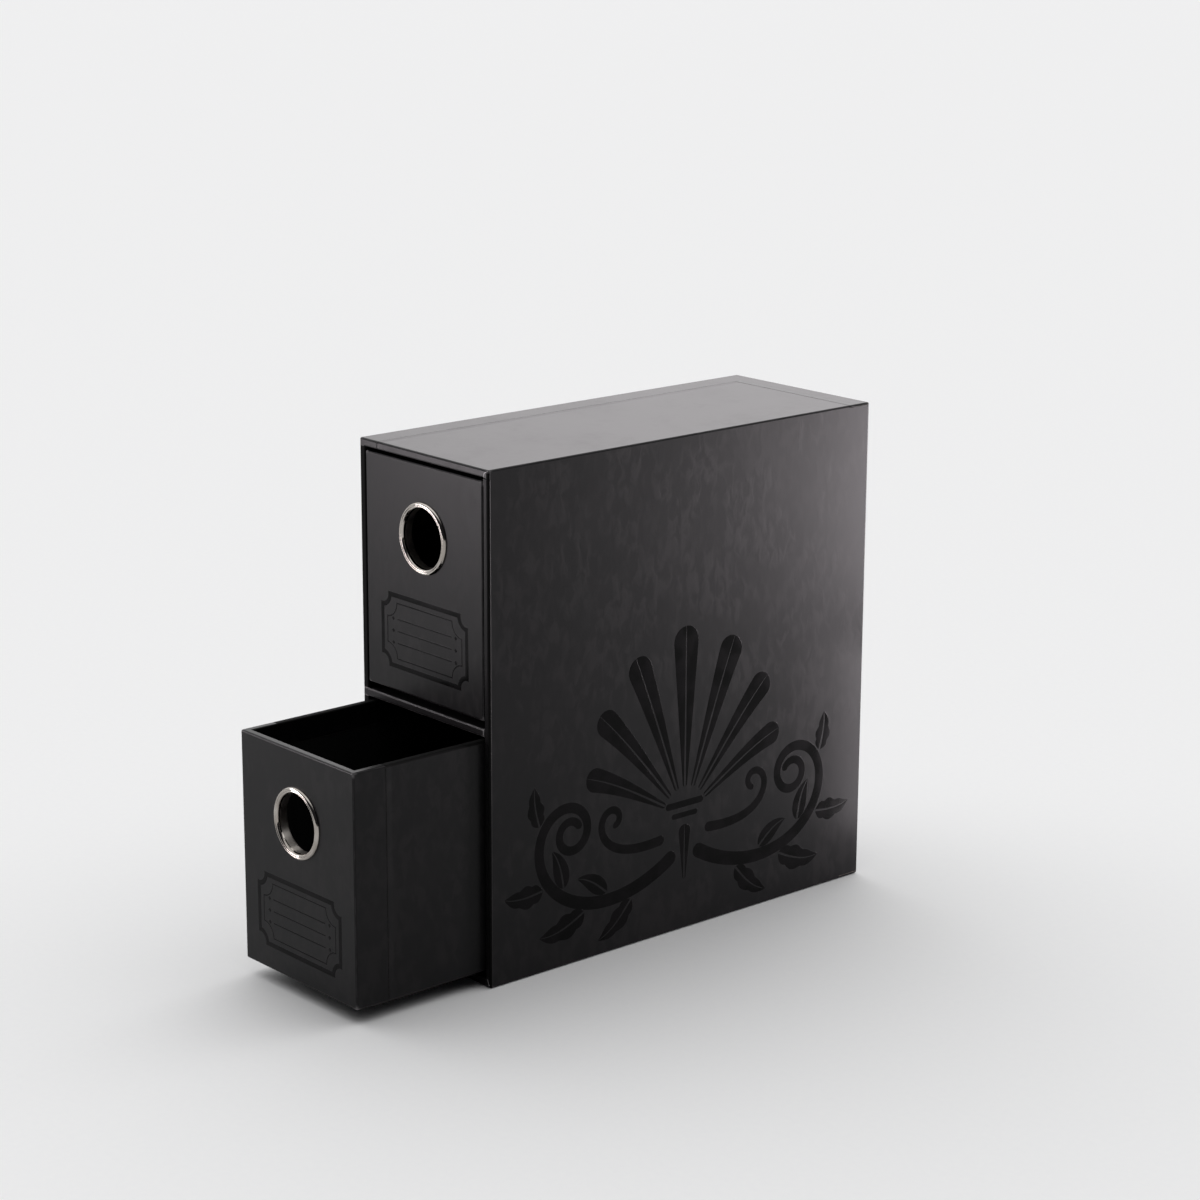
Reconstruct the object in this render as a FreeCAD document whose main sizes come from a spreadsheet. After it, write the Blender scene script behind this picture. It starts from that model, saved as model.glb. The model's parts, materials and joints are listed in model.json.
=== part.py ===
import FreeCAD, Part
import os
import Sketcher

# Card storage box: a wrapped-board case, open at the front, with two drawers one above the other.
# Millimetres, +Z up. The origin is the centre of the case's underside, the drawers open towards -Y,
# and the printed side of the case faces +X. The lower drawer stands part open.

doc = FreeCAD.newDocument("card_storage_box")
dims = doc.addObject("Spreadsheet::Sheet", "dims")

# Driving dimensions
driving_dimensions = (
    ("case_width", 84.8, "outside width of the case"),
    ("case_height", 220.0, "outside height of the case"),
    ("case_depth", 216.5, "outside depth of the case"),
    ("board", 3.0, "thickness of the greyboard"),
    ("paper", 0.25, "thickness of the wrapping paper"),
    ("edge_radius", 0.8, "outside radius of a wrapped edge"),
    ("seam", 0.2, "gap between the edges of two sheets of paper"),
    ("lap", 12.0, "width of the sheets' turned-over strips on the case"),
    ("case_turn_in", 15.0, "how far the case's sheets turn in behind its front edges"),
    ("base_inset", 3.0, "from the edges of the case's underside to its base sheet"),
    ("side_gap", 0.4, "clearance at each side of a drawer"),
    ("top_gap", 1.4, "clearance above a drawer"),
    ("back_gap", 1.0, "clearance behind a closed drawer"),
    ("pad_end_inset", 12.0, "from the tray's front or back to its base pad"),
    ("pad_side_inset", 6.0, "from the tray's side to its base pad"),
    ("front_flap", 16.0, "how far the front sheet wraps round each side of the tray"),
    ("tray_turn_in", 10.0, "how far the tray's sheets turn down inside its rim"),
    ("lower_pull", 66.0, "how far the lower drawer stands open"),
    ("ring_drop", 30.8, "from the tray's rim down to the centre of the finger ring"),
    ("ring_bore", 12.7, "radius of the finger hole through the ring"),
    ("ring_rim", 1.3, "radius of the ring's rounded rim in section"),
    ("ring_metal", 0.5, "thickness of the ring's sheet metal"),
    ("ring_clench", 1.4, "how far the ring's turned-out back edge reaches over its washer"),
    ("ring_fit", 0.3, "clearance between the ring's barrel and the hole in the board"),
    ("washer_metal", 0.5, "thickness of the ring's washer"),
    ("washer_width", 2.8, "width of the ring's washer"),
)
for row, (alias, value, meaning) in enumerate(driving_dimensions, start=1):
    dims.set(f"A{row}", alias)
    dims.set(f"B{row}", str(value))
    dims.set(f"C{row}", meaning)
    dims.setAlias(f"B{row}", alias)
doc.recompute()

# Sizes and places that follow from the driving dimensions, as expressions of the sheet
wall = "(dims.board + 2 * dims.paper)"
bare_wall = "(dims.board + dims.paper)"
left = "(-dims.case_width / 2)"
right = "(dims.case_width / 2)"
front = "(-dims.case_depth / 2)"
back = "(dims.case_depth / 2)"
top = "dims.case_height"
underside = "dims.paper"
floor = f"({underside} + {wall})"
slot_height = f"((dims.case_height - {underside} - 3 * {wall}) / 2)"
shelf_low = f"({floor} + {slot_height})"
shelf_high = f"({shelf_low} + {wall})"
tray_width = f"(dims.case_width - 2 * {wall} - 2 * dims.side_gap)"
tray_depth = f"(dims.case_depth - {wall} - dims.back_gap)"
pad_height = bare_wall
tray_height = f"({slot_height} - {pad_height} - dims.top_gap)"
hole_radius = "(dims.ring_bore + dims.ring_metal + dims.ring_fit)"

# The boards' edges are eased by a flat that touches the inside of the paper's rounded fold
fold_radius = "(dims.edge_radius - dims.paper)"
board_ease = f"({fold_radius} * (2 - sqrt(2)))"

# How many flats the finger ring's rounded rim is drawn with, to keep its facets few
rim_flats = 4

# How far a cutting block reaches past the surface that it cuts
overshoot = "2"

# An edge of a pocket's mouth lies in its face to this much, and this far in from the outline
same_level = 0.001
mouth_inset = "(1.5 * dims.edge_radius)"


def value_of(expression):
    """Work out an expression of the sheet, in millimetres."""
    result = dims.evalExpression(expression)
    return float(getattr(result, "Value", result))


def plane_of(body, role):
    """Find one of a body's own origin planes by its role."""
    return next(item for item in body.Origin.OriginFeatures if item.Role == role)


def new_sketch(body, name, role):
    """Add a sketch to a body, lying on one of the body's origin planes."""
    sketch = body.newObject("Sketcher::SketchObject", name)
    sketch.AttachmentSupport = (plane_of(body, role), [""])
    sketch.MapMode = "FlatFace"
    return sketch


def constrain(sketch, constraint, expression=None):
    """Add a constraint to a sketch, tied to an expression where it has one."""
    index = sketch.addConstraint(constraint)
    if expression:
        sketch.setExpression(f"Constraints[{index}]", expression)


def add_rectangle(sketch, width, height, across=None, up=None):
    """Draw a rectangle from a low corner, which is the sketch's origin if no place is given."""
    corner_x = value_of(across) if across else 0
    corner_y = value_of(up) if up else 0
    far_x = corner_x + value_of(width)
    far_y = corner_y + value_of(height)
    corners = [
        FreeCAD.Vector(corner_x, corner_y, 0),
        FreeCAD.Vector(far_x, corner_y, 0),
        FreeCAD.Vector(far_x, far_y, 0),
        FreeCAD.Vector(corner_x, far_y, 0),
    ]
    base, end, roof, start = sketch.addGeometry(
        [Part.LineSegment(corners[side], corners[(side + 1) % 4]) for side in range(4)], False
    )
    for first, second in ((base, end), (end, roof), (roof, start), (start, base)):
        constrain(sketch, Sketcher.Constraint("Coincident", first, 2, second, 1))
    constrain(sketch, Sketcher.Constraint("Horizontal", base))
    constrain(sketch, Sketcher.Constraint("Horizontal", roof))
    constrain(sketch, Sketcher.Constraint("Vertical", end))
    constrain(sketch, Sketcher.Constraint("Vertical", start))
    if across:
        constrain(sketch, Sketcher.Constraint("DistanceX", -1, 1, base, 1, corner_x), across)
        constrain(sketch, Sketcher.Constraint("DistanceY", -1, 1, base, 1, corner_y), up)
    else:
        constrain(sketch, Sketcher.Constraint("Coincident", base, 1, -1, 1))
    constrain(sketch, Sketcher.Constraint("DistanceX", base, 1, base, 2, far_x - corner_x), width)
    constrain(sketch, Sketcher.Constraint("DistanceY", end, 1, end, 2, far_y - corner_y), height)


def add_circle(sketch, radius, across=None, up=None):
    """Draw a circle, centred on the sketch's origin if no place is given."""
    centre_x = value_of(across) if across else 0
    centre_y = value_of(up) if up else 0
    centre = FreeCAD.Vector(centre_x, centre_y, 0)
    circle = sketch.addGeometry(Part.Circle(centre, FreeCAD.Vector(0, 0, 1), value_of(radius)))
    if across:
        constrain(sketch, Sketcher.Constraint("DistanceX", -1, 1, circle, 3, centre_x), across)
        constrain(sketch, Sketcher.Constraint("DistanceY", -1, 1, circle, 3, centre_y), up)
    else:
        constrain(sketch, Sketcher.Constraint("Coincident", circle, 3, -1, 1))
    constrain(sketch, Sketcher.Constraint("Radius", circle, value_of(radius)), radius)


def add_outline(sketch, corners):
    """Draw a closed outline through corners given as pairs of expressions."""
    points = [FreeCAD.Vector(value_of(across), value_of(up), 0) for across, up in corners]
    ends = points[1:] + points[:1]
    sides = [
        sketch.addGeometry(Part.LineSegment(start, end)) for start, end in zip(points, ends)
    ]
    for number, side in enumerate(sides):
        following = sides[(number + 1) % len(sides)]
        constrain(sketch, Sketcher.Constraint("Coincident", side, 2, following, 1))
        across, up = corners[number]
        point = points[number]
        if across == "0":
            constrain(sketch, Sketcher.Constraint("PointOnObject", side, 1, -2))
        else:
            constrain(sketch, Sketcher.Constraint("DistanceX", -1, 1, side, 1, point.x), across)
        constrain(sketch, Sketcher.Constraint("DistanceY", -1, 1, side, 1, point.y), up)


def set_place(item, x, y, z):
    """Tie an object's place to three expressions."""
    item.setExpression("Placement.Base.x", x)
    item.setExpression("Placement.Base.y", y)
    item.setExpression("Placement.Base.z", z)


def new_body(name, x, y, z):
    """Make a body whose own origin stands at the given place."""
    body = doc.addObject("PartDesign::Body", name)
    set_place(body, x, y, z)
    return body


def add_pad(body, name, sketch, length):
    """Raise a sketch into a solid."""
    pad = body.newObject("PartDesign::Pad", name)
    pad.Profile = sketch
    pad.setExpression("Length", length)
    doc.recompute()
    return pad


def add_pocket(body, name, sketch, length):
    """Cut a sketch into the body, and make sure that it took material away."""
    before = body.Tip.Shape.Volume
    pocket = body.newObject("PartDesign::Pocket", name)
    pocket.Profile = sketch
    pocket.setExpression("Length", length)
    doc.recompute()
    if not pocket.Shape.Volume < before:
        raise RuntimeError(f"{name} cut nothing")
    return pocket


def round_edges(body, name, base, edge_names):
    """Round the named edges, as wrapping paper folds over them."""
    fillet = body.newObject("PartDesign::Fillet", name)
    fillet.Base = (base, edge_names)
    fillet.setExpression("Radius", "dims.edge_radius")
    doc.recompute()
    return fillet


def ease_edges(body, name, base, edge_names):
    """Take the sharpness off the named edges of the boards."""
    chamfer = body.newObject("PartDesign::Chamfer", name)
    chamfer.Base = (base, edge_names)
    chamfer.setExpression("Size", board_ease)
    doc.recompute()
    return chamfer


def every_edge(feature):
    """Name all the edges of a feature."""
    return [f"Edge{number}" for number in range(1, len(feature.Shape.Edges) + 1)]


def rim_edges(shape, axis, level):
    """Name the edges round the pocket mouths that open in one flat face of a shape."""
    names = []
    outer = shape.BoundBox
    lows = (outer.XMin, outer.YMin, outer.ZMin)
    highs = (outer.XMax, outer.YMax, outer.ZMax)
    clear = value_of(mouth_inset)
    for number, edge in enumerate(shape.Edges, start=1):
        box = edge.BoundBox
        low = (box.XMin, box.YMin, box.ZMin)
        high = (box.XMax, box.YMax, box.ZMax)
        on_face = max(abs(low[axis] - level), abs(high[axis] - level)) < same_level
        others = [index for index in range(3) if index != axis]
        inside = all(
            low[index] > lows[index] + clear and high[index] < highs[index] - clear
            for index in others
        )
        if on_face and inside:
            names.append(f"Edge{number}")
    return names


def block(name, x, y, z):
    """Make a rectangular block from pairs of low and high expressions."""
    box = doc.addObject("Part::Box", name)
    box.setExpression("Length", f"{x[1]} - {x[0]}")
    box.setExpression("Width", f"{y[1]} - {y[0]}")
    box.setExpression("Height", f"{z[1]} - {z[0]}")
    set_place(box, x[0], y[0], z[0])
    return box


def joined(name, pieces):
    """Fuse several blocks into one zone."""
    fuse = doc.addObject("Part::MultiFuse", name)
    fuse.Shapes = pieces
    return fuse


def common(name, base, tool):
    """Keep the part of the base that lies inside the tool."""
    result = doc.addObject("Part::Common", name)
    result.Base = base
    result.Tool = tool
    return result


def cut(name, base, tool):
    """Take the tool away from the base."""
    result = doc.addObject("Part::Cut", name)
    result.Base = base
    result.Tool = tool
    return result


def past(expression, side):
    """Move an expression outwards by the overshoot: side is -1 for a low end and 1 for a high end."""
    sign = "+" if side > 0 else "-"
    return f"({expression} {sign} {overshoot})"


nodes = []


def node(name, item):
    """Name a finished piece of the box."""
    item.Label = name
    nodes.append(item)
    return item


def case_form(name, skin, soften):
    """Shape the whole case with its two slots, its surface a given skin inside the real one."""
    inset = f"(dims.board + 2 * (dims.paper - {skin}))"
    body = new_body(name, f"{left} + {skin}", f"{front} + {skin}", f"{underside} + {skin}")
    plan = new_sketch(body, f"{name}_plan", "XY_Plane")
    add_rectangle(plan, f"dims.case_width - 2 * {skin}", f"dims.case_depth - 2 * {skin}")
    solid = add_pad(body, f"{name}_block", plan, f"{top} - {underside} - 2 * {skin}")
    soften(body, f"{name}_edges", solid, every_edge(solid))
    slots = new_sketch(body, f"{name}_slots", "XZ_Plane")
    slot_width = f"dims.case_width - 2 * {wall} + 2 * {skin}"
    slot_tall = f"{slot_height} + 2 * {skin}"
    add_rectangle(slots, slot_width, slot_tall, inset, inset)
    upper_low = f"{shelf_high} - {underside} - 2 * {skin}"
    add_rectangle(slots, slot_width, slot_tall, inset, upper_low)
    hollow = add_pocket(body, f"{name}_hollow", slots, f"dims.case_depth - {wall}")
    soften(body, f"{name}_mouth", hollow, rim_edges(hollow.Shape, 1, 0))
    return body


def tray_form(name, skin, soften, y, z):
    """Shape a whole tray with its finger hole, its surface a given skin inside the real one."""
    inset = f"(dims.board + 2 * (dims.paper - {skin}))"
    body = new_body(name, f"-{tray_width} / 2 + {skin}", f"{y} + {skin}", f"{z} + {skin}")
    plan = new_sketch(body, f"{name}_plan", "XY_Plane")
    add_rectangle(plan, f"{tray_width} - 2 * {skin}", f"{tray_depth} - 2 * {skin}")
    solid = add_pad(body, f"{name}_block", plan, f"{tray_height} - 2 * {skin}")
    soften(body, f"{name}_edges", solid, every_edge(solid))
    hollow_plan = new_sketch(body, f"{name}_hollow_plan", "XY_Plane")
    hollow_plan.setExpression(".AttachmentOffset.Base.z", f"{tray_height} - 2 * {skin}")
    add_rectangle(
        hollow_plan,
        f"{tray_width} - 2 * {wall} + 2 * {skin}",
        f"{tray_depth} - 2 * {wall} + 2 * {skin}",
        inset,
        inset,
    )
    doc.recompute()
    hollow = add_pocket(body, f"{name}_hollow", hollow_plan, f"{tray_height} - {wall}")
    rim = rim_edges(hollow.Shape, 2, value_of(f"{tray_height} - 2 * {skin}"))
    soften(body, f"{name}_rim", hollow, rim)
    hole_plan = new_sketch(body, f"{name}_hole_plan", "XZ_Plane")
    across = f"{tray_width} / 2 - {skin}"
    add_circle(hole_plan, hole_radius, across, f"{tray_height} - dims.ring_drop - {skin}")
    add_pocket(body, f"{name}_hole", hole_plan, wall)
    return body


# The case with room to spare all round it, and the space between its outer boards
whole_x = (past(left, -1), past(right, 1))
whole_y = (past(front, -1), past(back, 1))
whole_z = (past("0", -1), past(top, 1))
between_x = (f"({left} + {bare_wall})", f"({right} - {bare_wall})")
between_z = (f"({underside} + {bare_wall})", f"({top} - {bare_wall})")
back_board_front = f"({back} - {bare_wall})"
turn_in_end = f"({front} + dims.case_turn_in)"


def build_case_boards(core):
    """Make the case's boards: the top and bottom run full width, the sides stand between them, and
    the back and the shelf fit between the sides."""
    before_back = (past(front, -1), back_board_front)
    shelf_z = (f"({shelf_low} + dims.paper)", f"({shelf_high} - dims.paper)")
    boards = (
        ("case_top_board", whole_x, whole_y, (between_z[1], past(top, 1))),
        ("case_bottom_board", whole_x, whole_y, (past("0", -1), between_z[0])),
        ("case_left_board", (past(left, -1), between_x[0]), whole_y, between_z),
        ("case_right_board", (between_x[1], past(right, 1)), whole_y, between_z),
        ("case_back_board", between_x, (back_board_front, past(back, 1)), between_z),
        ("shelf_board", between_x, before_back, shelf_z),
    )
    for name, x, y, z in boards:
        node(name, common(f"{name}_piece", core, block(f"{name}_zone", x, y, z)))


def build_slot_linings(paper):
    """Line the two slots, from where the turned-in edges of the outer sheets end."""
    lining_y = (f"({turn_in_end} + dims.seam)", back_board_front)
    linings = (
        ("upper_slot_lining", (f"({shelf_high} - dims.paper)", between_z[1])),
        ("lower_slot_lining", (between_z[0], f"({shelf_low} + dims.paper)")),
    )
    for name, z in linings:
        node(name, common(f"{name}_piece", paper, block(f"{name}_zone", between_x, lining_y, z)))
    return block("linings_clear", between_x, (turn_in_end, back_board_front), between_z)


def build_shelf_strip(paper):
    """Wrap the shelf's front edge with a strip that runs on over the left wall's edge."""
    inner_left = f"({left} + {wall})"
    inner_right = f"({right} - {wall})"
    strip_x = (inner_left, f"({inner_right} - dims.seam)")
    strip_y = (past(front, -1), turn_in_end)
    shelf_z = (shelf_low, shelf_high)
    end_x = (past(left, -1), inner_left)
    end_y = (past(front, -1), f"({front} + dims.edge_radius)")
    strip = block("shelf_strip", strip_x, strip_y, shelf_z)
    strip_end = block("shelf_strip_end", end_x, end_y, shelf_z)
    strip_zone = joined("shelf_edge_wrap_zone", [strip, strip_end])
    node("shelf_edge_wrap", common("shelf_edge_wrap_piece", paper, strip_zone))

    strip_clear = block("shelf_strip_clear", (inner_left, inner_right), strip_y, shelf_z)
    past_end_y = (end_y[0], f"({end_y[1]} + dims.seam)")
    past_end_z = (f"({shelf_low} - dims.seam)", f"({shelf_high} + dims.seam)")
    end_clear = block("shelf_strip_end_clear", end_x, past_end_y, past_end_z)
    return [strip_clear, end_clear]


def build_outer_sheets(paper):
    """Wrap the case's outside: a printed sheet, a plain sheet and a strip under the bottom."""
    left_seam = f"({left} + dims.lap)"
    right_seam = f"({right} - dims.lap)"
    back_seam = f"({back} - dims.lap)"
    before_seam = (past(front, -1), f"({back_seam} - dims.seam)")
    low_fold = f"({underside} + dims.edge_radius)"
    high_fold = f"({top} - dims.edge_radius)"

    # The printed sheet covers the top and the right side, and laps round onto the back
    printed_top_x = (f"({left_seam} + dims.seam)", past(right, 1))
    printed_side_x = (right_seam, past(right, 1))
    back_lap_y = (f"({back_seam} - dims.seam)", past(back, 1))
    back_lap_z = (f"({low_fold} + dims.seam)", f"({high_fold} - dims.seam)")
    top_wall_z = (f"({top} - {wall})", past(top, 1))
    printed_zones = [
        block("printed_top_zone", printed_top_x, before_seam, top_wall_z),
        block("printed_side_zone", printed_side_x, before_seam, whole_z),
        block("printed_back_zone", printed_side_x, back_lap_y, back_lap_z),
    ]
    printed_zone = joined("printed_wrap_zone", printed_zones)
    node("case_printed_wrap", common("case_printed_wrap_piece", paper, printed_zone))

    # The plain sheet covers the left side and the back, and laps onto the top and the underside
    plain_back_x = (past(left, -1), f"({right_seam} - dims.seam)")
    corner_x = (f"({right_seam} - dims.seam)", past(right, 1))
    past_seam = (back_seam, past(back, 1))
    plain_zones = [
        block("plain_left_zone", (past(left, -1), left_seam), whole_y, whole_z),
        block("plain_back_zone", plain_back_x, past_seam, whole_z),
        block("plain_top_corner", corner_x, past_seam, (high_fold, past(top, 1))),
        block("plain_low_corner", corner_x, past_seam, (past("0", -1), low_fold)),
    ]
    plain_zone = joined("plain_wrap_zone", plain_zones)
    node("case_plain_wrap", common("case_plain_wrap_piece", paper, plain_zone))

    # The strip wraps the bottom board's front edge and covers the underside between the laps
    strip_x = (f"({left_seam} + dims.seam)", f"({right_seam} - dims.seam)")
    strip_z = (past("0", -1), f"({floor} + dims.paper)")
    strip_zone = block("bottom_edge_wrap_zone", strip_x, before_seam, strip_z)
    node("bottom_edge_wrap", common("bottom_edge_wrap_piece", paper, strip_zone))


def build_case():
    """Make the case: its boards, its wrapping and lining papers, and the sheet it stands on."""
    form = case_form("case_form", "0", round_edges)
    core = case_form("case_core", "dims.paper", ease_edges)
    paper = cut("case_paper", form, core)
    build_case_boards(core)
    linings_clear = build_slot_linings(paper)
    strip_clear = build_shelf_strip(paper)
    inner_zone = joined("inner_zone", [linings_clear, *strip_clear])
    build_outer_sheets(cut("outer_paper", paper, inner_zone))

    # The base sheet is glued over the strip and the laps, so the box stands on it
    sheet_x = (f"({left} + dims.base_inset)", f"({right} - dims.base_inset)")
    sheet_y = (f"({front} + dims.base_inset)", f"({back} - dims.base_inset)")
    node("case_base_sheet", block("base_sheet_piece", sheet_x, sheet_y, ("0", underside)))


def build_ring(name, y, z):
    """Make a finger ring: a rounded rim, a barrel through the board and a clenched back edge."""
    ring = new_body(f"{name}_finger_ring_body", "0", y, z)
    profile = new_sketch(ring, f"{name}_ring_profile", "YZ_Plane")
    barrel = "(dims.ring_bore + dims.ring_metal)"
    seat = f"({wall} + dims.washer_metal)"
    clench_back = f"({seat} + dims.ring_metal)"
    clench_edge = f"({barrel} + dims.ring_clench)"

    # The rim's section is a half circle, from its outside round the front to the bore, in flats
    rim_middle = "(dims.ring_bore + dims.ring_rim)"
    turns = [f"{number * 180 / rim_flats} deg" for number in range(1, rim_flats)]
    round_front = [
        (f"-dims.ring_rim * sin({turn})", f"{rim_middle} + dims.ring_rim * cos({turn})")
        for turn in turns
    ]
    through_board = [
        ("0", "dims.ring_bore"),
        (seat, "dims.ring_bore"),
        (clench_back, barrel),
        (clench_back, clench_edge),
        (seat, clench_edge),
        (seat, barrel),
        ("0", barrel),
    ]
    rim_outside = ("0", f"{rim_middle} + dims.ring_rim")
    add_outline(profile, [rim_outside, *round_front, *through_board])
    doc.recompute()
    turned = ring.newObject("PartDesign::Revolution", f"{name}_ring_turned")
    turned.Profile = profile
    turned.ReferenceAxis = (profile, ["H_Axis"])
    turned.Angle = 360
    node(f"{name}_finger_ring", ring)

    washer = new_body(f"{name}_ring_washer_body", "0", f"{y} + {wall}", z)
    outline = new_sketch(washer, f"{name}_washer_outline", "XZ_Plane")
    add_circle(outline, hole_radius)
    add_circle(outline, f"{hole_radius} + dims.washer_width")
    plate = add_pad(washer, f"{name}_washer_plate", outline, "dims.washer_metal")
    plate.Reversed = True
    node(f"{name}_ring_washer", washer)


def build_drawer(name, y, z):
    """Make one drawer: a tray of wrapped boards on a base pad, with a finger ring in its front."""
    tray_z = f"({z} + {pad_height})"
    low_x = f"(-{tray_width} / 2)"
    high_x = f"({tray_width} / 2)"
    far_y = f"({y} + {tray_depth})"
    rim_z = f"({tray_z} + {tray_height})"
    form = tray_form(f"{name}_form", "0", round_edges, y, tray_z)
    core = tray_form(f"{name}_core", "dims.paper", ease_edges, y, tray_z)
    paper = cut(f"{name}_paper", form, core)

    # Boards: the walls stand on the floor, the sides between the front and the back
    all_x = (past(low_x, -1), past(high_x, 1))
    all_y = (past(y, -1), past(far_y, 1))
    all_z = (past(tray_z, -1), past(rim_z, 1))
    floor_top = f"({tray_z} + {bare_wall})"
    wall_z = (floor_top, past(rim_z, 1))
    between_x = (f"({low_x} + {bare_wall})", f"({high_x} - {bare_wall})")
    between_y = (f"({y} + {bare_wall})", f"({far_y} - {bare_wall})")
    boards = (
        ("floor", all_x, all_y, (past(tray_z, -1), floor_top)),
        ("front", all_x, (past(y, -1), between_y[0]), wall_z),
        ("back", all_x, (between_y[1], past(far_y, 1)), wall_z),
        ("left", (past(low_x, -1), between_x[0]), between_y, wall_z),
        ("right", (between_x[1], past(high_x, 1)), between_y, wall_z),
    )
    for side, x, board_y, board_z in boards:
        zone = block(f"{name}_{side}_zone", x, board_y, board_z)
        node(f"{name}_{side}_board", common(f"{name}_{side}_piece", core, zone))

    # Paper: a lining inside, a printed sheet round the front and a plain sheet round the rest
    turn_in = f"({rim_z} - dims.tray_turn_in)"
    lining_z = (floor_top, f"({turn_in} - dims.seam)")
    lining_zone = block(f"{name}_lining_zone", between_x, between_y, lining_z)
    node(f"{name}_lining", common(f"{name}_lining_piece", paper, lining_zone))
    inside = block(f"{name}_inside_zone", between_x, between_y, (floor_top, turn_in))
    outer_paper = cut(f"{name}_outer_paper", paper, inside)
    flap_end = f"({y} + dims.front_flap)"
    front_zone = block(f"{name}_front_sheet_zone", all_x, (past(y, -1), flap_end), all_z)
    node(f"{name}_front_wrap", common(f"{name}_front_sheet", outer_paper, front_zone))
    body_y = (f"({flap_end} + dims.seam)", past(far_y, 1))
    body_zone = block(f"{name}_body_sheet_zone", all_x, body_y, all_z)
    node(f"{name}_body_wrap", common(f"{name}_body_sheet", outer_paper, body_zone))

    # Base pad: a smaller board under the tray, wrapped below and round its sides
    pad_x = (f"({low_x} + dims.pad_side_inset)", f"({high_x} - dims.pad_side_inset)")
    pad_y = (f"({y} + dims.pad_end_inset)", f"({far_y} - dims.pad_end_inset)")
    pad = block(f"{name}_pad_piece", pad_x, pad_y, (f"({z} + dims.paper)", tray_z))
    node(f"{name}_base_pad", pad)
    pad_cover = block(
        f"{name}_pad_cover",
        (f"({pad_x[0]} - dims.paper)", f"({pad_x[1]} + dims.paper)"),
        (f"({pad_y[0]} - dims.paper)", f"({pad_y[1]} + dims.paper)"),
        (z, tray_z),
    )
    node(f"{name}_base_pad_wrap", cut(f"{name}_pad_wrap_piece", pad_cover, pad))

    build_ring(name, y, f"({rim_z} - dims.ring_drop)")


build_case()
build_drawer("upper_drawer", front, shelf_high)
build_drawer("lower_drawer", f"({front} - dims.lower_pull)", floor)
doc.recompute()

# Nothing is written unless every object is sound
for item in doc.Objects:
    if "Invalid" in item.State or "Error" in item.State:
        raise RuntimeError(f"{item.Label} failed: {item.State}")
for item in nodes:
    if item.Shape.isNull() or not item.Shape.isValid():
        raise RuntimeError(f"{item.Label} has no valid shape")

os.makedirs("parts", exist_ok=True)
for item in nodes:
    item.Shape.exportStep(f"parts/{item.Label}.step")
    print(f"{item.Label}: {len(item.Shape.Solids)} solid, {item.Shape.Volume:.1f} mm3")
print(f"{len(nodes)} nodes")
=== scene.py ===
"""Looks of a paper-wrapped card storage box with two drawers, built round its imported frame.

The frame's boards, linings and wraps keep their shape and get paper and board finishes. The finger
rings are turned anew as smooth pressed metal, and the spot varnish on the side and the drawer fronts
is laid on as thin films. Lengths in the classes are millimetres, in the frame's own axes: the drawers
pull towards -Y, the printed side faces +X, and +Z is up.
"""

import json
import logging
import math
from dataclasses import dataclass, replace
from enum import Enum
from typing import Any

import bpy
import numpy as np
from mathutils import Euler, Matrix, Vector

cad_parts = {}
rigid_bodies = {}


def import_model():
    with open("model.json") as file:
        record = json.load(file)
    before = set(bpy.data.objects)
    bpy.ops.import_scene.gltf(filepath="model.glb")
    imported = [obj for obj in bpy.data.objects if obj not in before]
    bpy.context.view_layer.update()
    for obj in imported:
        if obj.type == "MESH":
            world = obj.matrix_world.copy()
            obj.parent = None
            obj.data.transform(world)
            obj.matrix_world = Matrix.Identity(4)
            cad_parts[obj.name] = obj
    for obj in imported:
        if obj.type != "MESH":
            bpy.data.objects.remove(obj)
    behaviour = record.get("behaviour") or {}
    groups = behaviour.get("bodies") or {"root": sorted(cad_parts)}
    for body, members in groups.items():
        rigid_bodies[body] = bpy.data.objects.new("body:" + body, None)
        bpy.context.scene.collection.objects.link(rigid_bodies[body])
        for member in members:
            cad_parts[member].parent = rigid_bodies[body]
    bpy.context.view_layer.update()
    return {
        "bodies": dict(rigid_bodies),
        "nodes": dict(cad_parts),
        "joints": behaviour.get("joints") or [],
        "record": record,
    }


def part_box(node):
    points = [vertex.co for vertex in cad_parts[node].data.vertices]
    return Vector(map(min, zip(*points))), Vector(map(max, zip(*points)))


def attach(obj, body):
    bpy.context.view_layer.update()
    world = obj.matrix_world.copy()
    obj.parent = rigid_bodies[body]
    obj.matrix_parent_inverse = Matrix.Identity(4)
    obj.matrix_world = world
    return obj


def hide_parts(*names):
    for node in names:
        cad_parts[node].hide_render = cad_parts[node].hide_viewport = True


Material = bpy.types.Material
Piece = bpy.types.Object
Pair = tuple[float, float]
Point = tuple[float, float, float]
Array = np.ndarray
Mesh = tuple[Array, list[tuple[int, ...]]]

log = logging.getLogger("card_box")
MM = 0.001
FAR = 999.0  # Beyond any piece, in mm: a zone has no wall there
OPEN = (-FAR, FAR)
SOFT_WALL_MM = 0.1  # How far a zone's walls fade to each side
LEAST_MM = 0.015  # The width left at a film's points, so that its faces don't vanish
SHARP_DEGREES = 40.0


def linear(hex_colour: str) -> tuple[float, float, float, float]:
    """Turn an sRGB hex colour into the linear colour that Blender's sockets take.

    Args:
        hex_colour: the colour as "#rrggbb".

    Returns:
        Linear red, green, blue and an alpha of 1.
    """
    parts = [int(hex_colour[i : i + 2], 16) / 255 for i in (1, 3, 5)]
    red, green, blue = (c / 12.92 if c <= 0.04045 else ((c + 0.055) / 1.055) ** 2.4 for c in parts)
    return red, green, blue, 1.0


# Finishes


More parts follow.
